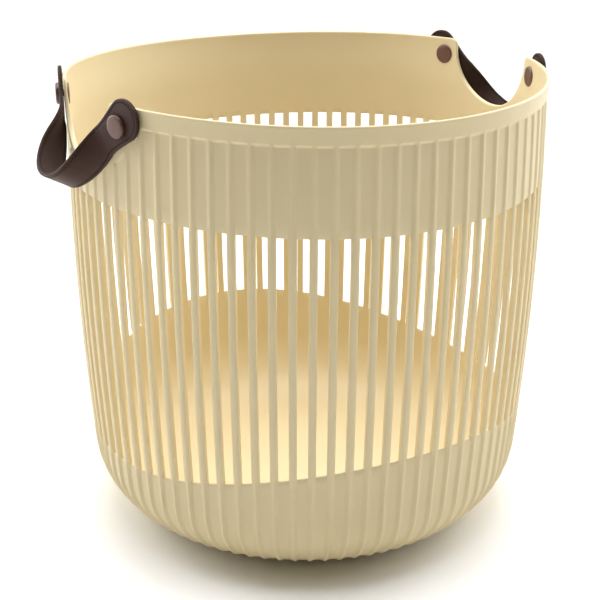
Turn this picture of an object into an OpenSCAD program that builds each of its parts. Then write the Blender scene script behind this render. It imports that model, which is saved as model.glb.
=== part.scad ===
// Round slatted storage basket with two strap handles.
// Millimetres, +Z up. The origin is the centre of the base, on the floor.
// The two handles are on the X axis: left is -X and right is +X.

/* [Basket] */
// Overall height of the basket at its rim
basket_h = 390; // [380:1:400]
// Outer radius of the rim border
rim_r = 201; // [200:0.5:203]
// Largest radius of the wall, measured over the ribs
wall_r_max = 201.7; // [200.5:0.1:202]
// Height of the widest part of the wall
wall_z_max = 262; // [250:1:275]
// Radius of the long outward bow of the wall
bow_r = 2750; // [2600:10:2900]
// Radius of the flat part of the base
base_r = 125; // [118:1:128]
// Number of slats and ribs, a multiple of four
slat_count = 84; // [76:4:88]
// Width of a slat, and of the rib that carries it on
slat_w = 6.1; // [5.6:0.1:6.4]
// Depth of a slat, from its crest to the inside of the wall
slat_d = 4.5; // [4.2:0.1:5]

/* [Upper band] */
// Height of the lower edge of the solid band
band_z = 308.5; // [302:0.5:314]
// How far the ribs stand out of the band
band_relief = 1.5; // [1:0.1:1.8]
// Height of the smooth border along the rim
border_h = 15.5; // [13:0.5:17]
// Thickness of the border
border_t = 3; // [2.6:0.1:3.4]
// Depth of the finger scoop below the rim
scoop_depth = 53.5; // [48:0.5:54]
// Half the width of the finger scoop
scoop_w = 50; // [47:0.5:51]
// Depth at which the scoop's sides start to close in
scoop_side = 7; // [7:1:12]
// Width of the smooth border beside the scoop
border_side_w = 22; // [19:0.5:23]
// Width of the smooth border under the scoop
border_low_w = 9; // [8:0.5:12]
// Depth at which the border's sides start to close in
border_side = 15; // [12:1:17]

/* [Cup] */
// How far the ribs stand out of the cup
cup_relief = 2.2; // [1.6:0.1:2.4]
// Height of the cup's edge at its highest, midway between the handles
cup_z_high = 119.5; // [110:0.5:130]
// Radius of the horizontal cylinder that cuts the cup's wavy edge
wave_r = 522; // [480:1:640]
// Width of the foot ring under the base
foot_w = 10; // [6:1:14]

/* [Handles] */
// Angle between a rivet and the middle of its handle
rivet_az = 18.5; // [18.2:0.1:19.5]
// Depth of the rivets below the rim
rivet_drop = 13.5; // [13:0.1:14.5]
// Radius of the rivet caps
cap_r = 8.75; // [7.5:0.05:9]
// Thickness of the outer rivet caps
cap_t = 3; // [2:0.1:3.5]
// Width of the strap
strap_w = 25; // [22:0.5:26]
// Thickness of one ply of the strap
ply_t = 1.6; // [1.2:0.1:1.8]
// Angle between the strap and the vertical at its rivets
strap_tilt = 51; // [49:0.5:53]
// Radius of the round end of the strap
tab_r = 15.6; // [14:0.1:16]
// Distance of that round end's centre behind the rivet
tab_back = 9; // [7:0.5:10]
// Distance from the axis of the basket to the middle of the strap
strap_reach = 223; // [222:1:228]
// How far the middle of the strap hangs below the rivets
strap_sag = 51.5; // [49:0.5:54]
// How far the middle of the strap faces down
middle_tilt = 61; // [50:1:65]

/* [Hidden] */
SIDES = ["left", "right"];
ENDS = ["front", "back"];
HANDLE_NODES = [
    for (side = SIDES)
        for (piece = ["strap_face", "strap_lining"])
            str(side, "_", piece)
];
FIXING_NODES = [
    for (side = SIDES)
        for (end = ENDS)
            for (piece = ["tab_face", "tab_lining", "rivet_cap", "rivet_post"])
                str(side, "_", end, "_", piece)
];
QUARTERS = ["right", "back", "left", "front"];
BASKET_NODES = concat(
    ["rim_band", "band_ribs"],
    [for (quarter = QUARTERS) str("slats_", quarter)],
    [for (quarter = QUARTERS) str("cup_", quarter)],
    ["cup_ribs", "base_floor"]
);

CREAM = [0.90, 0.83, 0.65];
ESPRESSO = [0.20, 0.13, 0.11];
UMBER = [0.27, 0.18, 0.14];
COPPER = [0.45, 0.30, 0.27];

$fn = 360;
tiny = 0.01;
spare = 5;
pitch = 360 / slat_count;
wall_steps = 4;
cup_steps = 2;
corner_steps = 7;
arc_steps = 16;

// The wall is one long arc, and the corner arc is tangent to it and to the floor.
bow_x = wall_r_max - bow_r;
corner_r = (pow(bow_r, 2) - pow(wall_z_max, 2) - pow(base_r - bow_x, 2)) / (2 * (bow_r - wall_z_max));
join_angle = atan2(corner_r - wall_z_max, base_r - bow_x);
join_z = corner_r + corner_r * sin(join_angle);

// The cup's edge is the top of a horizontal cylinder that lies along Y.
wave_z = cup_z_high - wave_r;
wave_spare = 10;
cup_top = cup_z_high + wave_spare;
wave_drop = 60;
slat_low = cup_z_high - wave_drop;
join_gap = 2;

tuck = 2;
foot_r = base_r - tuck;
border_in_r = rim_r - border_t;
border_foot_r = border_in_r - tuck;
border_low = basket_h - scoop_depth - border_low_w - spare;
rim_z = basket_h - border_h;
rim_round = 1.4;
scoop_round = 6;
rib_gap = 0.5;

rivet_z = basket_h - rivet_drop;
post_r = 2.5;
hole_r = 2.6;
lining_gap = 0.2;
socket_gap = 0.2;
back_t = 1.6;
seat_r = cap_r + 0.5;
cap_edge = 1.2;
cap_edge_h = 1;
disc_x = sqrt(pow(border_in_r, 2) - pow(cap_r, 2)) - lining_gap;
tab_plane = rim_r + lining_gap;
tab_len = 21;
neck_s = 15;
fold_gap = 1;
strap_steps = 14;
near_pull = 12;
mid_pull = 30;
twist_rate = 0.8;

// Radius of the wall at height z, inset d from the rib crests
function wall_r(z, d) = bow_x + sqrt(pow(bow_r - d, 2) - pow(z - wall_z_max, 2));

// Outline of the wall between two heights, inset d from the rib crests
function wall_path(d, z0, z1, steps) =
    [for (i = [0 : steps]) let (z = z0 + (z1 - z0) * i / steps) [wall_r(z, d), z]];

// Outline of the rounded corner from the base up to the wall, inset d
function corner_path(d) =
    [for (i = [0 : corner_steps])
        let (a = -90 + (90 + join_angle) * i / corner_steps)
        [base_r + (corner_r - d) * cos(a), corner_r + (corner_r - d) * sin(a)]];

function reversed(path) = [for (i = [len(path) - 1 : -1 : 0]) path[i]];

// Outline from the base up to the top of the cup, inset d
function cup_path(d) = concat(corner_path(d), wall_path(d, join_z + join_gap, cup_top, cup_steps));

// Outline of a scoop of half-width w, depth h and straight sides s, seen along X
function scoop_path(w, h, s) = concat(
    [[w + scoop_round, basket_h + spare]],
    [for (i = [0 : 5 : 90]) [w + scoop_round * (1 - sin(i)), basket_h - scoop_round * (1 - cos(i))]],
    [for (i = [0 : arc_steps])
        [w * cos(i * 180 / arc_steps), basket_h - s - (h - s) * sin(i * 180 / arc_steps)]],
    [for (i = [90 : -5 : 0]) [-w - scoop_round * (1 - sin(i)), basket_h - scoop_round * (1 - cos(i))]],
    [[-w - scoop_round, basket_h + spare]]
);

// A prism through the whole basket along X, from an outline seen along X
module along_x(path) {
    rotate([90, 0, 90])
        linear_extrude(3 * rim_r, center = true)
            polygon(path);
}

// The space of the two scoops, which face each other
module scoops() {
    along_x(scoop_path(scoop_w, scoop_depth, scoop_side));
}

// The scoops and their borders, wider by extra all round
module scoop_margins(extra) {
    along_x(scoop_path(scoop_w + border_side_w + extra, scoop_depth + border_low_w + extra, border_side));
}

// Everything under the cup's wavy edge
module wave_solid() {
    translate([0, 0, wave_z])
        rotate([90, 0, 0])
            cylinder(r = wave_r, h = 3 * rim_r, center = true);
}

// One bar along the wall: a flat outline, slat_w thick, in the plane of an azimuth
module bar(outline, azimuth) {
    rotate([0, 0, azimuth])
        rotate([90, 0, 0])
            linear_extrude(slat_w, center = true)
                polygon(outline);
}

// Outline of the band: panel, border and rounded rim outside, and a plain wall inside
function band_path() = concat(
    wall_path(band_relief, band_z, rim_z, wall_steps),
    [[rim_r, rim_z + 1], [rim_r, basket_h - rim_round]],
    [for (i = [0 : 15 : 180])
        let (x = i <= 90 ? rim_r - rim_round : border_in_r + rim_round)
        [x + rim_round * cos(i), basket_h - rim_round + rim_round * sin(i)]],
    [[border_in_r, rim_z + border_t]],
    reversed(wall_path(slat_d, band_z, rim_z, wall_steps))
);

// The upper band: panel, smooth border along its edge, two scoops and four rivet holes
module rim_band() {
    color(CREAM)
        difference() {
            union() {
                rotate_extrude()
                    polygon(band_path());
                intersection() {
                    difference() {
                        translate([0, 0, border_low])
                            cylinder(r = rim_r, h = rim_z + rim_round - border_low);
                        translate([0, 0, border_low - spare])
                            cylinder(r = border_foot_r, h = basket_h);
                    }
                    scoop_margins(0);
                }
            }
            intersection() {
                translate([0, 0, border_low])
                    cylinder(r = border_in_r, h = basket_h);
                scoop_margins(-border_t);
            }
            scoops();
            rivet_holes();
        }
}

// A hole through the wall at each rivet, with a flat seat for the rivet's inner disc
module rivet_holes() {
    for (side = SIDES)
        for (end = ENDS)
            at_rivet(side, end) {
                translate([0, 0, disc_x - spare])
                    cylinder(r = seat_r, h = spare);
                translate([0, 0, disc_x - spare])
                    cylinder(r = hole_r, h = 3 * spare);
            }
}

// The low ribs on the band, which run from the slats up to the border
module band_ribs() {
    rib = concat(
        wall_path(0, band_z, rim_z - tiny, wall_steps),
        reversed(wall_path(band_relief, band_z, rim_z - tiny, wall_steps))
    );
    color(CREAM)
        difference() {
            for (i = [0 : slat_count - 1])
                bar(rib, (i + 0.5) * pitch);
            scoop_margins(rib_gap);
            rivet_holes();
        }
}

// A quarter of the slats, centred on an azimuth
module slat_quarter(centre) {
    slat = concat(
        wall_path(0, slat_low, band_z, wall_steps),
        reversed(wall_path(slat_d, slat_low, band_z, wall_steps))
    );
    quarter = slat_count / 4;
    color(CREAM)
        difference() {
            for (i = [0 : quarter - 1])
                bar(slat, centre + (i - (quarter - 1) / 2) * pitch);
            wave_solid();
        }
}

// A quarter of the cup's plain shell, which has a wavy edge, centred on an azimuth
module cup_quarter(centre) {
    color(CREAM)
        intersection() {
            rotate([0, 0, centre - 45])
                rotate_extrude(angle = 90)
                    polygon(concat(cup_path(cup_relief), reversed(cup_path(slat_d))));
            wave_solid();
        }
}

// The flat floor, with the foot ring that the basket stands on
module base_floor() {
    color(CREAM) {
        translate([0, 0, cup_relief])
            cylinder(r = base_r, h = slat_d - cup_relief);
        difference() {
            cylinder(r = foot_r, h = slat_d);
            translate([0, 0, -spare])
                cylinder(r = foot_r - foot_w, h = slat_d + 2 * spare);
        }
    }
}

// The ribs on the cup, which carry the slats on round the corner to the base
module cup_ribs() {
    rib = concat(cup_path(0), reversed(cup_path(cup_relief)));
    color(CREAM)
        intersection() {
            for (i = [0 : slat_count - 1])
                bar(rib, (i + 0.5) * pitch);
            wave_solid();
        }
}

// Local frame of a rivet: the origin on the axis of the basket, Z out through the rivet
module at_rivet(side, end) {
    turn = side == "right" ? 0 : 180;
    sign = (side == "right") == (end == "back") ? 1 : -1;
    translate([0, 0, rivet_z])
        rotate([0, 0, turn + sign * rivet_az])
            rotate([0, 90, 0])
                children();
}

// Outline of the strap's round end; the rivet is at the origin and the strap runs along +X
function tab_path() = let (tangent = asin((tab_r - strap_w / 2) / (neck_s + tab_back))) concat(
    [[tab_len, -strap_w / 2], [tab_len, strap_w / 2], [neck_s, strap_w / 2]],
    [for (i = [0 : arc_steps])
        let (a = 90 - tangent + (180 + 2 * tangent) * i / arc_steps)
        [tab_r * cos(a) - tab_back, tab_r * sin(a)]],
    [[neck_s, -strap_w / 2]]
);

// One ply of a round end, lying against the border at its rivet
module tab_ply(side, end, layer) {
    sign = (side == "right") == (end == "back") ? 1 : -1;
    at_rivet(side, end)
        translate([0, 0, tab_plane + layer * ply_t])
            rotate([0, 0, sign * -strap_tilt])
                difference() {
                    linear_extrude(ply_t)
                        polygon(tab_path());
                    translate([0, 0, -ply_t])
                        cylinder(r = hole_r, h = 3 * ply_t);
                }
}

module tab_face(side, end) { color(ESPRESSO) tab_ply(side, end, 1); }
module tab_lining(side, end) { color(UMBER) tab_ply(side, end, 0); }

// Outer cap of a rivet: a low button with a blind socket for the post
module rivet_cap(side, end) {
    color(COPPER)
        at_rivet(side, end)
            translate([0, 0, tab_plane + 2 * ply_t])
                difference() {
                    union() {
                        cylinder(r = cap_r, h = cap_t - cap_edge_h);
                        translate([0, 0, cap_t - cap_edge_h])
                            cylinder(r1 = cap_r, r2 = cap_r - cap_edge, h = cap_edge_h);
                    }
                    translate([0, 0, -cap_t / 2])
                        cylinder(r = hole_r, h = cap_t);
                }
}

// Inner disc of a rivet, with the post that goes out through the wall and both plies
module rivet_post(side, end) {
    post_x = tab_plane + 2 * ply_t + cap_t / 2 - socket_gap;
    color(COPPER)
        at_rivet(side, end) {
            translate([0, 0, disc_x - back_t])
                cylinder(r = cap_r, h = back_t);
            translate([0, 0, disc_x - tiny])
                cylinder(r = post_r, h = post_x - disc_x);
        }
}

// The strap's middle line, from the end of its tab to the middle of the handle
out_a = [cos(rivet_az), sin(rivet_az), 0];
run_a = [sin(rivet_az) * sin(strap_tilt), -cos(rivet_az) * sin(strap_tilt), -cos(strap_tilt)];
start_a = (tab_plane + ply_t) * out_a + [0, 0, rivet_z] + (tab_len + fold_gap) * run_a;
middle = [strap_reach, 0, rivet_z - strap_sag];

function unit(v) = v / norm(v);
function mix(a, b, t) = a * (1 - t) + b * t;
function eased(t) = t * t * (3 - 2 * t);

// Point and direction on the middle line, as a cubic curve with t from 0 to 1
function line_at(t) =
    let (b = start_a + near_pull * run_a, c = middle + [0, mid_pull, 0])
    pow(1 - t, 3) * start_a + 3 * t * pow(1 - t, 2) * b + 3 * t * t * (1 - t) * c + pow(t, 3) * middle;
function run_at(t) =
    let (b = start_a + near_pull * run_a, c = middle + [0, mid_pull, 0])
    unit(pow(1 - t, 2) * (b - start_a) + 2 * t * (1 - t) * (c - b) + t * t * (middle - c));
function out_at(t) =
    let (n = mix(out_a, [cos(middle_tilt), 0, -sin(middle_tilt)], eased(pow(t, twist_rate))), r = run_at(t))
    unit(n - (n * r) * r);

// Four corners of the strap's section at t, between two offsets from the middle line
function section_at(t, low, high) =
    let (p = line_at(t), n = out_at(t), w = cross(run_at(t), n) * strap_w / 2)
    [p + w + n * low, p + w + n * high, p - w + n * high, p - w + n * low];

// One ply of the right-hand strap, between its two tabs
module strap_ply(low, high) {
    half = [for (i = [0 : strap_steps]) section_at(i / strap_steps, low, high)];
    other = [for (i = [strap_steps - 1 : -1 : 0]) let (s = half[i]) [for (q = s) [q[0], -q[1], q[2]]]];
    rings = concat(half, other);
    last = len(rings) - 1;
    points = [for (ring = rings) each ring];
    sides = [
        for (i = [0 : last - 1])
            for (k = [0 : 3])
                let (a = 4 * i + k, b = 4 * i + (k + 1) % 4)
                    each k < 2 ? [[a, b, b + 4], [a, b + 4, a + 4]] : [[a, b, a + 4], [b, b + 4, a + 4]]
    ];
    caps = [[3, 2, 1], [3, 1, 0], [4 * last, 4 * last + 1, 4 * last + 2], [4 * last, 4 * last + 2, 4 * last + 3]];
    polyhedron(points, concat(sides, caps));
}

// Turns the right-hand strap over to its own side
module on_side(side) {
    rotate([0, 0, side == "right" ? 0 : 180])
        children();
}

module strap_face(side) { color(ESPRESSO) on_side(side) strap_ply(0, ply_t); }
module strap_lining(side) { color(UMBER) on_side(side) strap_ply(-ply_t, 0); }

rim_band();
band_ribs();
for (i = [0 : 3]) {
    slat_quarter(90 * i);
    cup_quarter(90 * i);
}
cup_ribs();
base_floor();
for (side = SIDES) {
    strap_face(side);
    strap_lining(side);
    for (end = ENDS) {
        tab_face(side, end);
        tab_lining(side, end);
        rivet_cap(side, end);
        rivet_post(side, end);
    }
}
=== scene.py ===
import math

import bpy
import numpy as np
from mathutils import Matrix, Vector


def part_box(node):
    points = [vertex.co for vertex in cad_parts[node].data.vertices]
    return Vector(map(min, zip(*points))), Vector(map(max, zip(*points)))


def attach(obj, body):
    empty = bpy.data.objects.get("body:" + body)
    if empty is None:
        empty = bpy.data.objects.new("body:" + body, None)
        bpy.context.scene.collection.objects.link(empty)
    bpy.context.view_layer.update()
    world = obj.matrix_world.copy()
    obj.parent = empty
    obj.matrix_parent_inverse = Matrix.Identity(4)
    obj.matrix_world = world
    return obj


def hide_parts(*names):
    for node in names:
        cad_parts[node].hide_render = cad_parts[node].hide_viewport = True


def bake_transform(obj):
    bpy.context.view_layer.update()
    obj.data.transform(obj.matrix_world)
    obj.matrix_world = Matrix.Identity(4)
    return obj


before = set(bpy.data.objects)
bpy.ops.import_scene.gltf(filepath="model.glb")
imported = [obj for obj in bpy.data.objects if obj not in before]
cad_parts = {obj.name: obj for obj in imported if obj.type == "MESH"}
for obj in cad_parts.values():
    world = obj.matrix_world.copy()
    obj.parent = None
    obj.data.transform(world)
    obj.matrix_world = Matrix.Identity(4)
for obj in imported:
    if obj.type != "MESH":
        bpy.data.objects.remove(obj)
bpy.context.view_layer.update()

MM = 0.001
TAU = 2 * math.pi
SIDES = ("left", "right")
ENDS = ("front", "back")
QUARTERS = ("right", "back", "left", "front")

# The basket's sizes in millimetres. The rim and the band's lower edge come from the frame.
RIM_LOW, RIM_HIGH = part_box("rim_band")
RIM_Z = RIM_HIGH.z / MM
RIM_R = RIM_HIGH.y / MM
BAND_Z = RIM_LOW.z / MM
BASE_R = 125
BOW_R = 2750
BOW_X = 201.7 - BOW_R
BOW_Z = 262
FOOT_OUT = BASE_R - 2
FOOT_IN = FOOT_OUT - 10
CORNER_R = (BOW_R ** 2 - BOW_Z ** 2 - (BASE_R - BOW_X) ** 2) / (2 * (BOW_R - BOW_Z))
JOIN = math.atan2(CORNER_R - BOW_Z, BASE_R - BOW_X)
JOIN_Z = CORNER_R * (1 + math.sin(JOIN)) + 2
WALL_T = 4.2
FLOOR_RINGS = (100, 50, 10)
WAVE_R = 522
WAVE_Z = 119.5 - WAVE_R

# Ribs and slats
COUNT = 84
PITCH = TAU / COUNT
RIB_W = 6.1
RIB_ROUND = 3.2
BUMP_HALF = 3.5
FILLET = 0.04
SEAM_R = RIM_R - 2.5
COLUMN_STEP = 2.4
CUP_RELIEF = 2.2
RIB_FADE = math.radians(65)
BAND_RELIEF = 1.5
SLAT_CROWN = 1.4
SLOT_ROUND = 0.8
SLAT_EASE = 2.5
RIB_STEPS = (-3.05, -2.7, -2.1, -1.4, -0.7, 0, 0.7, 1.4, 2.1, 2.7, 3.05)
GAP_STEPS = (FILLET, 0.25, 0.5, 0.75, 1 - FILLET)

# Border round the rim and the two finger scoops
BORDER_H = 15.5
BORDER_T = 3
LIP_ROUND = 1.4
BORDER_DRAFT = 1.5
BORDER_STEP = ((0, 0.06), (0.6, 0.35), (1.2, 0.7), (1.9, 0.93), (2.8, 1))
FLARE_H = 45
SADDLE = 2.2
SADDLE_FROM = 150
SADDLE_RISE = 150
SCOOP_W = 50
SCOOP_DEPTH = 53.5
SCOOP_SIDE = 7
SCOOP_ROUND = 6
BORDER_W = SCOOP_W + 22
BORDER_DEPTH = SCOOP_DEPTH + 9
BORDER_SIDE = 15
BORDER_ROUND = 8
BORDER_TURN = math.radians(77)
BORDER_END = 96

# Handles
RIVET_AZ = math.radians(18.5)
RIVET_Z = RIM_Z - 13.5
CAP_R = 8.75
CAP_T = 3
PLY_T = 1.6
STRAP_W = 25
TAB_R = 15.6
TAB_BACK = 9
TAB_NECK = 15
TAB_SPAN = 30
TAB_PLANE = RIM_R + 0.2
STRAP_FROM = 22
STRAP_TILT = math.radians(51.7)
MIDDLE = np.array([222, 0, RIVET_Z - 51.5])
MIDDLE_TILT = math.radians(61)
NEAR_PULL = 10
MID_PULL = 34


# ---------------------------------------------------------------- mesh helpers

def smooth(t):
    t = np.clip(t, 0, 1)
    return t * t * (3 - 2 * t)


class Sheet:
    """Grids of points in millimetres that are welded into one mesh where they meet."""

    def __init__(self):
        self.points = []
        self.faces = []
        self.size = 0

    def grid(self, rows, closed=False, keep=None, flip=False):
        """Adds a grid of points[row][column]; keep says which strips between columns have faces."""
        rows = np.asarray(rows, float)
        high, wide = rows.shape[:2]
        index = self.size + np.arange(high * wide).reshape(high, wide)
        self.points.append(rows.reshape(-1, 3))
        self.size += high * wide
        left = np.arange(wide if closed else wide - 1)
        if keep is not None:
            left = left[np.asarray(keep)[left]]
        right = (left + 1) % wide
        quads = np.stack([index[:-1, left], index[:-1, right], index[1:, right], index[1:, left]], -1)
        quads = quads.reshape(-1, 4)
        if flip:
            quads = quads[:, ::-1]
        self.faces.extend(quads.tolist())
        return index

    def polygon(self, ring, flip=False):
        """Closes a ring of point numbers with one flat face."""
        ring = [int(i) for i in ring]
        self.faces.append(ring[::-1] if flip else ring)

    def build(self, name, material, sharp=35):
        points = np.concatenate(self.points) * MM
        key = np.round(points / 2e-6).astype(np.int64)
        _, first, number = np.unique(key, axis=0, return_index=True, return_inverse=True)
        number = number.reshape(-1)
        faces = []
        for face in self.faces:
            ring = [number[i] for i in face]
            ring = [p for i, p in enumerate(ring) if p != ring[i - 1]]
            if len(ring) > 2:
                faces.append(ring)
        mesh = bpy.data.meshes.new(name)
        mesh.from_pydata(points[first].tolist(), [], faces)
        mesh.validate()
        mesh.polygons.foreach_set("use_smooth", [True] * len(mesh.polygons))
        mesh.set_sharp_from_angle(angle=math.radians(sharp))
        mesh.update()
        mesh.materials.append(material)
        made = bpy.data.objects.new(name, mesh)
        bpy.context.scene.collection.objects.link(made)
        return made


# ---------------------------------------------------------------- materials

def nodes_of(name):
    """A new material's tree, its shader and a function that adds a node with its inputs set."""
    material = bpy.data.materials.new(name)
    material.use_nodes = True
    tree = material.node_tree
    shader = tree.nodes["Principled BSDF"]

    def add(kind, **values):
        node = tree.nodes.new(kind)
        for key, value in values.items():
            if key in node.inputs:
                node.inputs[key].default_value = value
            else:
                setattr(node, key, value)
        return node

    return material, tree, shader, add


def ramp(add, *stops):
    """A colour ramp node over the given (position, colour) stops."""
    node = add("ShaderNodeValToRGB")
    band = node.color_ramp
    band.elements[0].position, band.elements[0].color = stops[0][0], (*stops[0][1], 1)
    band.elements[1].position, band.elements[1].color = stops[1][0], (*stops[1][1], 1)
    for place, colour in stops[2:]:
        band.elements.new(place).color = (*colour, 1)
    return node


def roughness_from(link, add, shader, source, least, most):
    """Drives the shader's roughness from a value between 0 and 1."""
    gloss = add("ShaderNodeMapRange")
    gloss.inputs["To Min"].default_value = least
    gloss.inputs["To Max"].default_value = most
    link(source, gloss.inputs["Value"])
    link(gloss.outputs["Result"], shader.inputs["Roughness"])


def bump_from(link, add, shader, source, strength, distance):
    """Drives the shader's normal from a height."""
    bump = add("ShaderNodeBump", Strength=strength, Distance=distance)
    link(source, bump.inputs["Height"])
    link(bump.outputs["Normal"], shader.inputs["Normal"])


def colour_from(link, add, shader, source, *stops):
    """Drives the shader's base colour through a ramp."""
    tone = ramp(add, *stops)
    link(source, tone.inputs["Fac"])
    link(tone.outputs["Color"], shader.inputs["Base Color"])


def plastic():
    """Satin cream moulding: faint tone drift, fine matt texture and slight flow marks."""
    material, tree, shader, add = nodes_of("basket_plastic")
    link = tree.links.new
    place = add("ShaderNodeTexCoord")
    drift = add("ShaderNodeTexNoise", Scale=9.0, Detail=3.0, Roughness=0.5)
    link(place.outputs["Object"], drift.inputs["Vector"])
    colour_from(link, add, shader, drift.outputs["Fac"],
                (0.3, (0.67, 0.555, 0.325)), (0.7, (0.70, 0.585, 0.35)))
    satin = add("ShaderNodeTexNoise", Scale=60.0, Detail=4.0, Roughness=0.6)
    link(place.outputs["Object"], satin.inputs["Vector"])
    roughness_from(link, add, shader, satin.outputs["Fac"], 0.40, 0.52)
    texture = add("ShaderNodeTexNoise", Scale=1400.0, Detail=2.0, Roughness=0.6)
    link(place.outputs["Object"], texture.inputs["Vector"])
    bump_from(link, add, shader, texture.outputs["Fac"], 0.12, 0.0002)
    shader.inputs["Specular IOR Level"].default_value = 0.4
    return material


def leather(name, dark, light, rough_low, rough_high, grain):
    """Pebbled leather: cells of two sizes with pores, and painted shade that makes the tone darker in the
    creases.
    """
    material, tree, shader, add = nodes_of(name)
    link = tree.links.new
    place = add("ShaderNodeTexCoord")
    warp = add("ShaderNodeTexNoise", Scale=180.0, Detail=3.0)
    link(place.outputs["Object"], warp.inputs["Vector"])
    bend = add("ShaderNodeMix", data_type="VECTOR")
    bend.inputs["Factor"].default_value = 0.012
    link(place.outputs["Object"], bend.inputs["A"])
    link(warp.outputs["Color"], bend.inputs["B"])
    cells = add("ShaderNodeTexVoronoi", Scale=grain, feature="DISTANCE_TO_EDGE")
    link(bend.outputs["Result"], cells.inputs["Vector"])
    crease = add("ShaderNodeMapRange")
    crease.inputs["From Max"].default_value = 0.12
    link(cells.outputs["Distance"], crease.inputs["Value"])
    pores = add("ShaderNodeTexNoise", Scale=grain * 2.3, Detail=5.0, Roughness=0.65)
    link(place.outputs["Object"], pores.inputs["Vector"])
    height = add("ShaderNodeMath", operation="MULTIPLY_ADD")
    height.inputs[1].default_value = 0.35
    link(pores.outputs["Fac"], height.inputs[0])
    link(crease.outputs["Result"], height.inputs[2])
    wear = add("ShaderNodeTexNoise", Scale=38.0, Detail=4.0, Roughness=0.6)
    link(place.outputs["Object"], wear.inputs["Vector"])
    # Painted shade: the colour is darkened in the creases between the cells, on top of the real relief that
    # the bump gives them.
    share = add("ShaderNodeMath", operation="MULTIPLY")
    share.inputs[1].default_value = 0.45
    link(crease.outputs["Result"], share.inputs[0])
    total = add("ShaderNodeMath", operation="MULTIPLY_ADD")
    total.inputs[1].default_value = 0.55
    link(wear.outputs["Fac"], total.inputs[0])
    link(share.outputs["Value"], total.inputs[2])
    colour_from(link, add, shader, total.outputs["Value"], (0.25, dark), (0.85, light))
    roughness_from(link, add, shader, total.outputs["Value"], rough_high, rough_low)
    bump_from(link, add, shader, height.outputs["Value"], 0.35, 0.0003)
    shader.inputs["Specular IOR Level"].default_value = 0.2
    shader.inputs["Specular Tint"].default_value = (1, 0.78, 0.70, 1)
    return material


def lacquer():
    """Brown lacquered rivet metal with fine turning marks and scuffs."""
    material, tree, shader, add = nodes_of("rivet_lacquer")
    link = tree.links.new
    place = add("ShaderNodeTexCoord")
    scuff = add("ShaderNodeTexNoise", Scale=420.0, Detail=4.0, Roughness=0.7)
    link(place.outputs["Object"], scuff.inputs["Vector"])
    colour_from(link, add, shader, scuff.outputs["Fac"],
                (0.35, (0.100, 0.040, 0.027)), (0.75, (0.145, 0.061, 0.042)))
    roughness_from(link, add, shader, scuff.outputs["Fac"], 0.32, 0.5)
    bump_from(link, add, shader, scuff.outputs["Fac"], 0.15, 0.0002)
    shader.inputs["Metallic"].default_value = 0.25
    shader.inputs["Coat Weight"].default_value = 0.3
    shader.inputs["Coat Roughness"].default_value = 0.25
    return material


def thread():
    """Waxed sewing thread with a twisted lay."""
    material, tree, shader, add = nodes_of("thread")
    link = tree.links.new
    place = add("ShaderNodeTexCoord")
    strands = add("ShaderNodeTexWave", Scale=900.0, Distortion=1.5, Detail=2.0)
    link(place.outputs["Object"], strands.inputs["Vector"])
    colour_from(link, add, shader, strands.outputs["Fac"],
                (0.2, (0.010, 0.006, 0.005)), (0.9, (0.026, 0.017, 0.014)))
    bump_from(link, add, shader, strands.outputs["Fac"], 0.5, 0.0001)
    shader.inputs["Roughness"].default_value = 0.7
    shader.inputs["Specular IOR Level"].default_value = 0.1
    return material


PLASTIC = plastic()
FACE = leather("strap_face", (0.030, 0.0135, 0.0095), (0.052, 0.025, 0.018), 0.42, 0.56, 900)
LINING = leather("strap_lining", (0.022, 0.011, 0.007), (0.040, 0.021, 0.014), 0.6, 0.75, 1300)
LACQUER = lacquer()
THREAD = thread()


# ---------------------------------------------------------------- basket moulding

def wall_r(z, d):
    """Radius of the wall at height z, inset d from the rib crests."""
    return BOW_X + np.sqrt((BOW_R - d) ** 2 - (z - BOW_Z) ** 2)


def scoop_depth_line(width, depth, side, count):
    """Half of an elliptical outline from its side down to its lowest point, as (y, depth)."""
    a = np.linspace(0, math.pi / 2, count)
    return np.stack([width * np.cos(a), side + (depth - side) * np.sin(a)], 1)


def border_line():
    """Lower edge of the smooth border beside a handle, from BORDER_END to the middle, as (y, depth)."""
    ellipse = scoop_depth_line(BORDER_W, BORDER_DEPTH, BORDER_SIDE, 400)
    turn = BORDER_TURN
    foot = BORDER_H + BORDER_ROUND * (1 - math.cos(turn))
    start = np.interp(foot, ellipse[:, 1], ellipse[:, 0])
    centre = start + BORDER_ROUND * math.sin(turn)
    a = np.linspace(0, turn, 40)
    arc = np.stack([centre - BORDER_ROUND * np.sin(a), BORDER_H + BORDER_ROUND * (1 - np.cos(a))], 1)
    corner = arc[len(arc) // 2]
    line = np.concatenate([[[BORDER_END, BORDER_H]], arc, ellipse[ellipse[:, 1] > foot]])
    return line, corner


def scoop_edge():
    """Upper edge of the wall beside a handle, from BORDER_END to the middle, as (y, depth)."""
    a = np.linspace(0, math.pi / 2, 30)
    arc = np.stack([SCOOP_W + SCOOP_ROUND * (1 - np.sin(a)), SCOOP_ROUND * (1 - np.cos(a))], 1)
    line = np.concatenate([[[BORDER_END, 0]], arc, scoop_depth_line(SCOOP_W, SCOOP_DEPTH, SCOOP_SIDE, 400)])
    return line, arc[len(arc) // 2]


def along(line):
    """Distance along an outline from its first point."""
    return np.concatenate([[0], np.cumsum(np.linalg.norm(np.diff(line, axis=0), axis=1))])


BORDER_LINE, BORDER_CORNER = border_line()
SCOOP_EDGE, SCOOP_CORNER = scoop_edge()
BORDER_ALONG = along(BORDER_LINE)
SCOOP_ALONG = along(SCOOP_EDGE)


def nearest_along(line, reach, point):
    return reach[np.argmin(np.linalg.norm(line - point, axis=1))]


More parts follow.
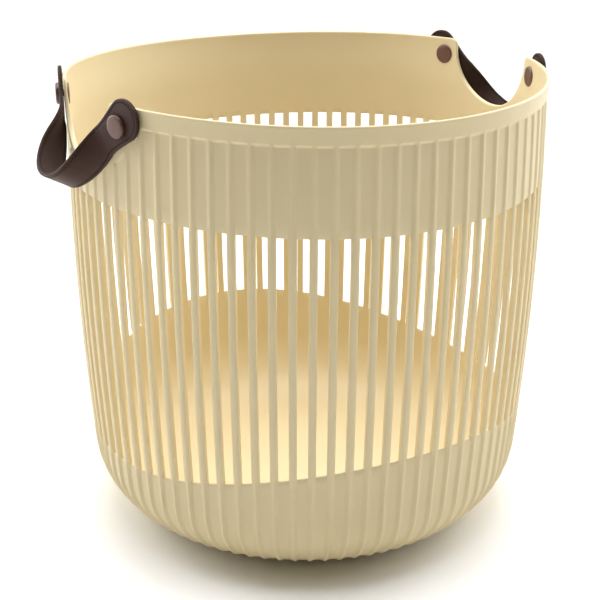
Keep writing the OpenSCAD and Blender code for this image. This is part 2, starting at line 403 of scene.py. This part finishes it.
def edge_pairs(y):
    """For positions |y| on the border line: its depth, and the matching (y, depth) on the scoop's edge."""
    order = np.argsort(BORDER_LINE[:, 0])
    reach = np.interp(y, BORDER_LINE[order, 0], BORDER_ALONG[order])
    depth = np.interp(reach, BORDER_ALONG, BORDER_LINE[:, 1])
    marks = [0, nearest_along(BORDER_LINE, BORDER_ALONG, BORDER_CORNER), BORDER_ALONG[-1]]
    goals = [0, nearest_along(SCOOP_EDGE, SCOOP_ALONG, SCOOP_CORNER), SCOOP_ALONG[-1]]
    there = np.interp(reach, marks, goals)
    edge_y = np.interp(there, SCOOP_ALONG, SCOOP_EDGE[:, 0])
    edge_depth = np.interp(there, SCOOP_ALONG, SCOOP_EDGE[:, 1])
    return depth, edge_y, edge_depth


def column_plan():
    """Every column of the moulding's grid: its rib's azimuth, and its place on the rib or in the gap."""
    steep = [p[0] for p in BORDER_LINE if 40 < p[0] < 80]
    reach = np.interp(steep[::-1], BORDER_LINE[::-1, 0], BORDER_ALONG[::-1])
    spots = np.arange(reach.min(), reach.max(), COLUMN_STEP)
    extra_y = np.interp(spots, reach[::-1], steep)
    extra = [math.asin(y / RIM_R) for y in extra_y]
    angles = [turn + sign * a for a in extra for turn in (0, math.pi) for sign in (-1, 1)]
    gap_w = PITCH * SEAM_R - RIB_W
    plan = []
    for k in range(COUNT):
        middle = (k + 0.5) * PITCH
        rib = list(RIB_STEPS)
        gap = list(GAP_STEPS)
        for angle in angles:
            s = ((angle - middle + math.pi) % TAU - math.pi) * SEAM_R
            if abs(s) < RIB_W / 2:
                if min(abs(s - r) for r in rib) > 0.2:
                    rib.append(s)
            else:
                f = (s - RIB_W / 2) / gap_w
                if 0 < f < 1 and min(abs(f - g) for g in gap) > 0.03:
                    gap.append(f)
        plan += [(middle, s, -1.0) for s in sorted(rib)]
        plan += [(middle, 0.0, f) for f in sorted(gap)]
    return np.array(plan)


PLAN = column_plan()
MIDDLE_AZ, RIB_S, GAP_F = PLAN.T
ON_RIB = GAP_F < 0
RIB_STRIP = ON_RIB & np.roll(ON_RIB, -1)
WIDE = len(PLAN)


def across(r):
    """Azimuth of every column at radius r, which may differ from column to column."""
    gap = RIB_W / 2 + GAP_F * (PITCH * r - RIB_W)
    return MIDDLE_AZ + np.where(ON_RIB, RIB_S, gap) / r


def rib_inset(relief, power):
    """How far every column lies inside the rib crests: 0 on a crest and relief on the panel."""
    share = np.abs(RIB_S) / RIB_ROUND
    crown = relief * (1 - (1 - share ** power) ** (1 / power))
    return np.where(ON_RIB, crown, relief)


def ring(r, z, azimuth=None):
    """One row of points at radius r and height z."""
    r = np.broadcast_to(np.asarray(r, float), (WIDE,))
    z = np.broadcast_to(np.asarray(z, float), (WIDE,))
    a = across(r) if azimuth is None else azimuth
    return np.stack([r * np.cos(a), r * np.sin(a), z], 1)


def corner_rows(d, steps):
    """Rows round the bottom corner, from the base up to the wall, inset d."""
    rows = []
    for a in np.linspace(-math.pi / 2, JOIN, steps):
        rows.append(ring(BASE_R + (CORNER_R - d) * math.cos(a), CORNER_R + (CORNER_R - d) * math.sin(a)))
    return rows


def wall_row(z, d):
    return ring(wall_r(z, d), z)


CUP_D = np.where(ON_RIB, CUP_RELIEF * smooth(np.abs(RIB_S) / BUMP_HALF), CUP_RELIEF)
SLAT_D = rib_inset(SLAT_CROWN, 2)
BAND_D = np.where(ON_RIB, BAND_RELIEF * smooth(np.abs(RIB_S) / BUMP_HALF), BAND_RELIEF)
AZ_TOP = across(SEAM_R)
CUP_WALL_R = wall_r(110, CUP_RELIEF)
NEAR_X = CUP_WALL_R * np.cos(across(CUP_WALL_R))
CUP_EDGE = WAVE_Z + np.sqrt(WAVE_R ** 2 - NEAR_X ** 2)

# Where the border starts above every column, and the edge point that it rises to
HALF = (AZ_TOP + math.pi / 2) % math.pi - math.pi / 2
FROM_HANDLE = RIM_R * np.sin(np.abs(HALF))
BY_HANDLE = FROM_HANDLE < BORDER_END
LINE_DEPTH, EDGE_Y, EDGE_DEPTH = edge_pairs(np.minimum(FROM_HANDLE, BORDER_END))
BORDER_Z = RIM_Z - LINE_DEPTH
EDGE_Z = RIM_Z - EDGE_DEPTH
EDGE_HALF = np.where(BY_HANDLE, np.sign(HALF) * np.arcsin(EDGE_Y / RIM_R), HALF)
EDGE_AZ = AZ_TOP + EDGE_HALF - HALF
BORDER_W_MM = np.hypot((EDGE_AZ - AZ_TOP) * RIM_R, EDGE_Z - BORDER_Z)


def border_row(distance, r, from_edge=False):
    """A row in the border at a distance from its lower line, or from the wall's edge."""
    t = np.clip(distance / BORDER_W_MM, 0, 1)
    t = 1 - t if from_edge else t
    azimuth = AZ_TOP + (EDGE_AZ - AZ_TOP) * t
    z = BORDER_Z + (EDGE_Z - BORDER_Z) * t
    return ring(r, z, azimuth)


def low_rows():
    """Outside of the cup, from the foot ring up to just below its wavy edge."""
    rows = [
        ring(FOOT_IN - 0.8, CUP_RELIEF), ring(FOOT_IN, CUP_RELIEF - 0.5),
        ring(FOOT_IN + 0.3, 0.3), ring(FOOT_IN + 0.9, 0),
        ring(FOOT_OUT - 0.7, 0), ring(FOOT_OUT, 0.3),
        ring(FOOT_OUT + 0.4, CUP_RELIEF * 0.8), ring(FOOT_OUT + 1, CUP_RELIEF),
    ]
    for a in np.linspace(-math.pi / 2, JOIN, 20):
        d = CUP_RELIEF + (CUP_D - CUP_RELIEF) * smooth((a + math.pi / 2) / RIB_FADE)
        rows.append(ring(BASE_R + (CORNER_R - d) * math.cos(a), CORNER_R + (CORNER_R - d) * math.sin(a)))
    for t in np.linspace(0, 1, 8):
        rows.append(wall_row(JOIN_Z + (CUP_EDGE - SLOT_ROUND - JOIN_Z) * t, CUP_D))
    return rows


def cup_edge_rows():
    """The rounded upper edge of the cup between two slats, from outside to inside."""
    outer, inner = CUP_D, WALL_T
    steps = ((outer, SLOT_ROUND), (outer + 0.25, 0.25), (outer + SLOT_ROUND, 0),
             (inner - SLOT_ROUND, 0), (inner - 0.25, 0.25), (inner, SLOT_ROUND))
    return [wall_row(CUP_EDGE - drop, d) for d, drop in steps]


def band_edge_rows():
    """The rounded lower edge of the band between two slats, from inside to outside."""
    outer, inner = BAND_D, WALL_T
    steps = ((inner, SLOT_ROUND), (inner - 0.25, 0.25), (inner - SLOT_ROUND, 0),
             (outer + SLOT_ROUND, 0), (outer + 0.25, 0.25), (outer, SLOT_ROUND))
    return [wall_row(BAND_Z + rise, d) for d, rise in steps]


def slat_heights():
    low = CUP_EDGE - SLOT_ROUND
    first = CUP_EDGE + SLAT_EASE
    last = BAND_Z - SLAT_EASE
    inside = [first + (last - first) * t for t in np.linspace(0, 1, 9)]
    return [low] + inside + [np.full(WIDE, BAND_Z + SLOT_ROUND)]


def slat_rows(d_low, d_middle, d_high):
    heights = slat_heights()
    insets = [d_low] + [d_middle] * (len(heights) - 2) + [d_high]
    return [wall_row(z, d) for z, d in zip(heights, insets)]


def inner_r(z):
    """Radius of the inside of the band, which opens slightly towards the rim."""
    plain = wall_r(z, WALL_T)
    return plain + (RIM_R - BORDER_T - wall_r(RIM_Z, WALL_T)) * smooth((z - RIM_Z + FLARE_H) / FLARE_H)


def upper_rows():
    """Outside of the band, over the border and rim, and down the inside to the band's lower edge."""
    low = BAND_Z + SLOT_ROUND
    rows = [wall_row(low + (BORDER_Z - 1.2 - low) * t, BAND_D) for t in np.linspace(0, 1, 8)]
    foot = wall_r(BORDER_Z, BAND_D)
    skirt = RIM_R - BORDER_DRAFT
    for distance, share in BORDER_STEP:
        rows.append(border_row(distance, foot + (skirt - foot) * share))
    for distance in (6, 2.2):
        rows.append(border_row(distance, RIM_R - BORDER_DRAFT * distance / BORDER_W_MM, True))
    for a in np.linspace(0, math.pi / 2, 6):
        out = LIP_ROUND * (1 - math.cos(a))
        rows.append(border_row(LIP_ROUND * (1 - math.sin(a)), RIM_R - out, True))
    inside = inner_r(EDGE_Z)
    for a in np.linspace(math.pi / 2, 0, 6):
        out = LIP_ROUND * (1 - math.cos(a))
        rows.append(border_row(LIP_ROUND * (1 - math.sin(a)), inside + out, True))
    for t in np.linspace(0.8, 0, 9):
        rows.append(border_row(BORDER_W_MM * t, inner_r(BORDER_Z + (EDGE_Z - BORDER_Z) * t)))
    for t in np.linspace(1, 0, 12)[1:]:
        z = low + (BORDER_Z - low) * t
        rows.append(ring(inner_r(z), z))
    return rows


def inner_low_rows():
    """Inside of the cup, from just below its edge down to the flat floor."""
    rows = []
    for t in np.linspace(1, 0, 6):
        rows.append(wall_row(JOIN_Z + (CUP_EDGE - SLOT_ROUND - JOIN_Z) * t, WALL_T))
    rows += corner_rows(WALL_T, 16)[::-1]
    rows += [ring(r, WALL_T, across(FLOOR_RINGS[0])) for r in FLOOR_RINGS]
    return rows


def slat_sides(sheet, cup_rows, band_rows):
    """The two flat sides of every slat, which meet the rounded edges of the cup and band."""
    heights = slat_heights()
    for sign in (-1, 1):
        picked = np.flatnonzero(ON_RIB & np.isclose(RIB_S, sign * RIB_W / 2))
        for column in picked:
            outer = SLAT_D[column]
            depths = (outer, outer + 0.35, outer + 1, WALL_T - 1, WALL_T - 0.35, WALL_T)
            rows = [[row[column] for row in cup_rows]]
            for z in heights[1:-1]:
                height = z[column]
                line = []
                for d in depths:
                    r = wall_r(height, d)
                    a = MIDDLE_AZ[column] + RIB_S[column] / r
                    line.append((r * math.cos(a), r * math.sin(a), height))
                rows.append(line)
            rows.append([row[column] for row in band_rows[::-1]])
            sheet.grid(rows, flip=sign < 0)


def saddle(points):
    """Lifts the rim a little at the handles and lowers it midway between them."""
    azimuth = np.arctan2(points[:, 1], points[:, 0])
    lift = SADDLE * np.cos(2 * azimuth) * smooth((points[:, 2] - SADDLE_FROM) / SADDLE_RISE)
    return points + np.stack([0 * lift, 0 * lift, lift], 1)


def make_basket():
    sheet = Sheet()
    low = sheet.grid(low_rows(), closed=True)
    sheet.polygon(low[0], flip=True)
    cup_rows, band_rows = cup_edge_rows(), band_edge_rows()
    sheet.grid(cup_rows, closed=True, keep=~RIB_STRIP)
    sheet.grid(slat_rows(CUP_D, SLAT_D, BAND_D), closed=True, keep=RIB_STRIP)
    sheet.grid(upper_rows(), closed=True)
    sheet.grid(band_rows, closed=True, keep=~RIB_STRIP)
    sheet.grid(slat_rows(WALL_T, WALL_T, WALL_T)[::-1], closed=True, keep=RIB_STRIP)
    floor = sheet.grid(inner_low_rows(), closed=True)
    sheet.polygon(floor[-1])
    slat_sides(sheet, cup_rows, band_rows)
    sheet.points = [saddle(points) for points in sheet.points]
    basket = sheet.build("basket_moulding", PLASTIC)
    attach(basket, "root")
    quarters = [f"{part}_{quarter}" for part in ("slats", "cup") for quarter in QUARTERS]
    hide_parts("rim_band", "band_ribs", "cup_ribs", "base_floor", *quarters)


make_basket()


# ---------------------------------------------------------------- straps

def unit(v):
    return v / np.linalg.norm(v, axis=-1, keepdims=True)


class StrapPath:
    """The right-hand strap's middle line, from its back rivet over the middle to its front rivet."""

    def __init__(self):
        out = np.array([math.cos(RIVET_AZ), math.sin(RIVET_AZ), 0])
        run = np.array([
            math.sin(RIVET_AZ) * math.sin(STRAP_TILT),
            -math.cos(RIVET_AZ) * math.sin(STRAP_TILT),
            -math.cos(STRAP_TILT),
        ])
        rivet = (TAB_PLANE + PLY_T) * out + np.array([0, 0, RIVET_Z])
        start = rivet + STRAP_FROM * run
        b = start + NEAR_PULL * run
        c = MIDDLE + np.array([0, MID_PULL, 0])
        t = np.linspace(0, 1, 200)[:, None]
        curve = (1 - t) ** 3 * start + 3 * t * (1 - t) ** 2 * b + 3 * t * t * (1 - t) * c + t ** 3 * MIDDLE
        speed = (1 - t) ** 2 * (b - start) + 2 * t * (1 - t) * (c - b) + t * t * (MIDDLE - c)
        down = np.array([math.cos(MIDDLE_TILT), 0, -math.sin(MIDDLE_TILT)])
        turn = smooth(np.sqrt(t))
        normal = out * (1 - turn) + down * turn
        straight = np.linspace(-TAB_SPAN, STRAP_FROM, 60)[:-1, None]
        point = np.concatenate([rivet + straight * run, curve])
        along_run = np.concatenate([np.broadcast_to(run, (len(straight), 3)), unit(speed)])
        normal = np.concatenate([np.broadcast_to(out, (len(straight), 3)), normal])
        normal = unit(normal - np.sum(normal * along_run, 1, keepdims=True) * along_run)
        wide = np.cross(along_run, normal)
        reach = np.concatenate([[0], np.cumsum(np.linalg.norm(np.diff(point, axis=0), axis=1))]) - TAB_SPAN
        mirror = np.array([1, -1, 1])
        self.half = reach[-1]
        self.u = np.concatenate([reach, 2 * self.half - reach[-2::-1]])
        self.point = np.concatenate([point, point[-2::-1] * mirror])
        self.normal = np.concatenate([normal, normal[-2::-1] * mirror])
        self.wide = np.concatenate([wide, wide[-2::-1] * mirror])

    def place(self, u, v, h):
        """Points on the strap at distance u along it, v across it and h above its middle plane."""
        def at(values):
            return np.stack([np.interp(u, self.u, values[:, i]) for i in range(3)], -1)
        sideways = at(self.wide) * np.asarray(v)[..., None]
        outwards = at(self.normal) * np.asarray(h)[..., None]
        return at(self.point) + sideways + outwards


PATH = StrapPath()
FULL = 2 * PATH.half


def strap_outline(step):
    """Left edge of the flat strap, from the pole of one round end to the pole of the other, as (u, v)."""
    tangent = math.asin((TAB_R - STRAP_W / 2) / (TAB_NECK + TAB_BACK))
    arc = math.pi / 2 + tangent
    a = np.linspace(0, arc, 26)
    end = np.stack([-TAB_BACK - TAB_R * np.cos(a), TAB_R * np.sin(a)], 1)
    neck = np.array([TAB_NECK, STRAP_W / 2])
    fine = np.linspace(0, 1, 14)[1:-1, None]
    line = end[-1] * (1 - fine) + neck * fine
    straight = np.arange(TAB_NECK, PATH.half, step)
    straight = np.stack([straight, np.full(len(straight), STRAP_W / 2)], 1)
    half = np.concatenate([end, line, straight])
    other = half[::-1] * np.array([-1, 1]) + np.array([FULL, 0])
    whole = np.concatenate([half, other])
    for _ in range(6):
        middle = whole[1:-1] * 0.5 + (whole[:-2] + whole[2:]) * 0.25
        straight_part = whole[1:-1, 1] <= STRAP_W / 2 + 1.5
        whole[1:-1] = np.where(straight_part[:, None], middle, whole[1:-1])
    return whole


OUTLINE = strap_outline(2.0)


def outline_normals(line):
    """Directions in the flat strap that point straight in from its edge."""
    mirror = np.array([1, -1])
    around = np.concatenate([line[1:2] * mirror, line, line[-2:-1] * mirror])
    run = unit(around[2:] - around[:-2])
    return np.stack([run[:, 1], -run[:, 0]], 1)


INWARD = outline_normals(OUTLINE)


def ring_of_strap(inset, height):
    """A closed ring on the strap at a distance in from its edge, as flat (u, v) and height."""
    left = OUTLINE + INWARD * inset
    right = left[-2:0:-1] * np.array([1, -1])
    flat = np.concatenate([left, right])
    near = np.minimum(np.hypot(flat[:, 0], flat[:, 1]), np.hypot(flat[:, 0] - FULL, flat[:, 1]))
    dimple = 0.25 * (1 - smooth((near - CAP_R) / 4.5))
    return flat, height - np.sign(height) * dimple * (abs(height) > 0.5)


STITCH_INSET = 2.4
STITCH_PITCH = 3.1
STITCH_LENGTH = 2.3
STITCH_RADIUS = 0.36
CORE_INSET = 11.8
PLY_PROFILE = (
    (0.25, 0.03), (0.04, 0.12), (0, 0.4), (0.02, 0.9), (0.15, 1.25), (0.45, 1.47), (0.9, 1.56), (1.5, 1.56),
    (2.0, 1.4), (STITCH_INSET, 1.24), (2.8, 1.4), (3.3, 1.56), (4.5, 1.6), (6, 1.6), (7.5, 1.6),
    (9, 1.6), (10.5, 1.6), (CORE_INSET, 1.6),
)


def strap_ply(name, side, sign, material):
    """One ply of a strap: sign +1 is the outer leather and -1 the lining."""
    sheet = Sheet()
    rows = []
    for inset, height in ((CORE_INSET, 0.03),) + PLY_PROFILE:
        flat, h = ring_of_strap(inset, height * sign)
        rows.append(PATH.place(flat[:, 0], flat[:, 1], h))
    index = sheet.grid(rows, closed=True, flip=sign < 0)
    count = len(OUTLINE)
    for row, turned in ((index[-1], sign > 0), (index[0], sign < 0)):
        left = row[:count]
        right = np.concatenate([row[:1], row[:count - 2:-1][:count - 2], row[count - 1:count]])
        for i in range(count - 1):
            sheet.polygon([left[i], left[i + 1], right[i + 1], right[i]], flip=turned)
    ply = sheet.build(name, material, 50)
    return on_side(ply, side)


def on_side(piece, side):
    """Turns a right-hand piece over to its own side."""
    if side == "left":
        piece.data.transform(Matrix.Rotation(math.pi, 4, "Z"))
    return piece


def stitch_spots(spacing):
    """Middles and directions of the stitches, evenly along a line inside the strap's edge."""
    flat, _ = ring_of_strap(STITCH_INSET, 1.0)
    loop = np.concatenate([flat, flat[:1]])
    reach = along(loop)
    count = int(reach[-1] / spacing)
    spots = (np.arange(count) + 0.5) * reach[-1] / count
    return loop, reach, spots


def stitch_rows(spot, loop, reach, sign):
    """Rings of points along one arched stitch, whose ends sink into the leather."""
    around = np.linspace(0, TAU, 7)[:-1]
    rows = []
    for t in np.linspace(-1, 1, 7):
        s = (spot + t * STITCH_LENGTH / 2) % reach[-1]
        ahead = (s + 0.2) % reach[-1]
        u, v = (np.interp(s, reach, loop[:, i]) for i in (0, 1))
        du, dv = (np.interp(ahead, reach, loop[:, i]) - now for i, now in ((0, u), (1, v)))
        side_u, side_v = -dv / math.hypot(du, dv), du / math.hypot(du, dv)
        fat = STITCH_RADIUS * math.sqrt(max(1 - t ** 4 * 0.8, 0))
        lift = 1.32 + 0.12 * (1 - t * t) - 0.3 * t ** 4
        off = fat * np.cos(around)
        height = sign * (lift + fat * np.sin(around))
        rows.append(PATH.place(u + side_u * off, v + side_v * off, height))
    return rows


def stitches(name, side):
    """The thread: a row of short arched stitches on both faces."""
    sheet = Sheet()
    loop, reach, spots = stitch_spots(STITCH_PITCH)
    for sign in (1, -1):
        for spot in spots:
            index = sheet.grid(stitch_rows(spot, loop, reach, sign), closed=True, flip=sign > 0)
            sheet.polygon(index[0], flip=sign < 0)
            sheet.polygon(index[-1], flip=sign > 0)
    return on_side(sheet.build(name, THREAD, 60), side)


def make_strap(side):
    tabs = [f"{side}_{end}_tab" for end in ENDS]
    face = strap_ply(f"{side}_strap_outer_ply", side, 1, FACE)
    lining = strap_ply(f"{side}_strap_inner_ply", side, -1, LINING)
    sewing = stitches(f"{side}_strap_stitching", side)
    for piece in (face, lining, sewing):
        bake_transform(piece)
    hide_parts(f"{side}_strap_face", *[f"{tab}_face" for tab in tabs])
    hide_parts(f"{side}_strap_lining", *[f"{tab}_lining" for tab in tabs])


for side in SIDES:
    make_strap(side)


# ---------------------------------------------------------------- rivets

def rivet_frame(side, end):
    """Local frame of a rivet: origin on the basket's axis and Z out through the rivet."""
    turn = 0 if side == "right" else math.pi
    sign = 1 if (side == "right") == (end == "back") else -1
    azimuth = turn + sign * RIVET_AZ
    out = Vector((math.cos(azimuth), math.sin(azimuth), 0))
    up = Vector((0, 0, 1))
    level = up.cross(out)
    matrix = Matrix((level, up, out)).transposed().to_4x4()
    matrix.translation = Vector((0, 0, RIVET_Z * MM))
    return matrix


def turned(profile, name, material):
    """A round piece from its profile, as (radius, height) points from the centre of one face to the other."""
    sheet = Sheet()
    a = np.arange(64) * TAU / 64
    rows = [[(r * math.cos(t), r * math.sin(t), h) for t in a] for r, h in profile]
    index = sheet.grid(rows, closed=True)
    sheet.polygon(index[0], flip=True)
    sheet.polygon(index[-1])
    return sheet.build(name, material, 40)


def cap_profile(seat):
    """The outer cap: a low button with a rounded edge, standing on the strap at radius seat."""
    return [
        (CAP_R - 0.3, seat - 0.3), (CAP_R, seat), (CAP_R, seat + 1.5), (CAP_R - 0.15, seat + 2.1),
        (CAP_R - 0.5, seat + 2.5), (CAP_R - 1.1, seat + 2.72), (CAP_R - 2, seat + 2.82),
        (CAP_R - 4, seat + 2.94), (2, seat + CAP_T),
    ]


def post_profile(disc, seat):
    """The inner disc, whose outer face is at radius disc, and its post up into the cap."""
    return [
        (2, disc - 1.6), (CAP_R - 3, disc - 1.56), (CAP_R - 1.2, disc - 1.4), (CAP_R - 0.4, disc - 1.1),
        (CAP_R, disc - 0.6), (CAP_R, disc), (2.5, disc), (2.5, seat + 1.3), (2.2, seat + 1.3),
    ]


def make_rivet(side, end):
    seat = TAB_PLANE + 2 * PLY_T
    disc = math.sqrt((RIM_R - BORDER_T) ** 2 - CAP_R ** 2) - 0.2
    for kind, profile in (("cap", cap_profile(seat)), ("post", post_profile(disc, seat))):
        piece = turned(profile, f"{side}_{end}_rivet_{kind}_turned", LACQUER)
        piece.data.transform(rivet_frame(side, end))
        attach(piece, "root")
        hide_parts(f"{side}_{end}_rivet_{kind}")


for side in SIDES:
    for end in ENDS:
        make_rivet(side, end)


# ---------------------------------------------------------------- floor, light and camera

def make_floor():
    mesh = bpy.data.meshes.new("floor")
    corners = [(x * FLOOR_HALF, y * FLOOR_HALF, 0) for x, y in ((-1, -1), (1, -1), (1, 1), (-1, 1))]
    mesh.from_pydata(corners, [], [(0, 1, 2, 3)])
    floor = bpy.data.objects.new("floor", mesh)
    bpy.context.scene.collection.objects.link(floor)
    material, tree, shader, add = nodes_of("floor")
    place = add("ShaderNodeTexCoord")
    drift = add("ShaderNodeTexNoise", Scale=3.0)
    tree.links.new(place.outputs["Object"], drift.inputs["Vector"])
    colour_from(tree.links.new, add, shader, drift.outputs["Fac"],
                (0.3, (0.97, 0.965, 0.93)), (0.7, (0.98, 0.975, 0.94)))
    shader.inputs["Roughness"].default_value = 0.9
    shader.inputs["Specular IOR Level"].default_value = 0.1
    mesh.materials.append(material)


CAM_AZ = 4.19713
CAM_DISTANCE = 0.97136
CAM_HEIGHT = 0.57549
CAM_PITCH = 0.38625
CAM_YAW = -0.0046
CAM_ROLL = 0.00469
LENS = 69.43666
WORLD_FROM, WORLD_TO = -0.1, 0.5
WORLD_BACK, WORLD_FRONT = 1.65, 0.03
BOX_COLOUR = (0.97, 0.99, 1.07)
BOX_AIM = (0, 0, 0.2)
FLOOR_HALF = 6.0


def make_camera():
    data = bpy.data.cameras.new("camera")
    data.lens = LENS
    data.sensor_width = 36
    camera = bpy.data.objects.new("camera", data)
    bpy.context.scene.collection.objects.link(camera)
    back = Vector((math.cos(CAM_AZ), math.sin(CAM_AZ), 0))
    ahead = -back * math.cos(CAM_PITCH) - Vector((0, 0, math.sin(CAM_PITCH)))
    right = ahead.cross(Vector((0, 0, 1))).normalized()
    up = right.cross(ahead)
    aim = ahead * math.cos(CAM_YAW) + right * math.sin(CAM_YAW)
    flat = right * math.cos(CAM_YAW) - ahead * math.sin(CAM_YAW)
    x = flat * math.cos(CAM_ROLL) + up * math.sin(CAM_ROLL)
    y = up * math.cos(CAM_ROLL) - flat * math.sin(CAM_ROLL)
    matrix = Matrix((x, y, -aim)).transposed().to_4x4()
    matrix.translation = back * CAM_DISTANCE + Vector((0, 0, CAM_HEIGHT))
    camera.matrix_world = matrix
    data.clip_start, data.clip_end = 0.01, 50
    bpy.context.scene.camera = camera


def soft_box(name, azimuth, distance, height, size, power):
    """An oblong area light at an azimuth counted from the camera's, aimed at the basket."""
    data = bpy.data.lights.new(name, "AREA")
    data.shape = "RECTANGLE"
    data.size, data.size_y = size
    data.energy = power
    data.color = BOX_COLOUR
    light = bpy.data.objects.new(name, data)
    bpy.context.scene.collection.objects.link(light)
    a = CAM_AZ + math.radians(azimuth)
    light.location = (distance * math.cos(a), distance * math.sin(a), height)
    light.rotation_euler = (Vector(BOX_AIM) - light.location).to_track_quat("-Z", "Y").to_euler()


def make_world():
    """White light that is strong behind the basket and faint on the camera's side; it looks white itself."""
    world = bpy.data.worlds.new("studio")
    bpy.context.scene.world = world
    world.use_nodes = True
    tree = world.node_tree
    shade = tree.nodes["Background"]
    shade.inputs["Color"].default_value = (1, 1, 1, 1)
    place = tree.nodes.new("ShaderNodeTexCoord")
    dot = tree.nodes.new("ShaderNodeVectorMath")
    dot.operation = "DOT_PRODUCT"
    dot.inputs[1].default_value = (math.cos(CAM_AZ), math.sin(CAM_AZ), 0)
    dim = tree.nodes.new("ShaderNodeMapRange")
    dim.interpolation_type = "SMOOTHSTEP"
    dim.inputs["From Min"].default_value = WORLD_FROM
    dim.inputs["From Max"].default_value = WORLD_TO
    dim.inputs["To Min"].default_value = WORLD_BACK
    dim.inputs["To Max"].default_value = WORLD_FRONT
    tree.links.new(place.outputs["Generated"], dot.inputs[0])
    tree.links.new(dot.outputs["Value"], dim.inputs["Value"])
    seen = tree.nodes.new("ShaderNodeLightPath")
    shown = tree.nodes.new("ShaderNodeMath")
    shown.operation = "MAXIMUM"
    tree.links.new(dim.outputs["Result"], shown.inputs[0])
    tree.links.new(seen.outputs["Is Camera Ray"], shown.inputs[1])
    tree.links.new(shown.outputs["Value"], shade.inputs["Strength"])


make_floor()
make_camera()
make_world()
soft_box("left", -112, 1.8, 0.9, (0.8, 1.6), 13)
soft_box("right", 122, 1.8, 0.9, (0.8, 1.6), 14)
soft_box("top", 180, 0.02, 1.4, (0.9, 0.9), 14)
bpy.context.scene.view_settings.view_transform = "Standard"
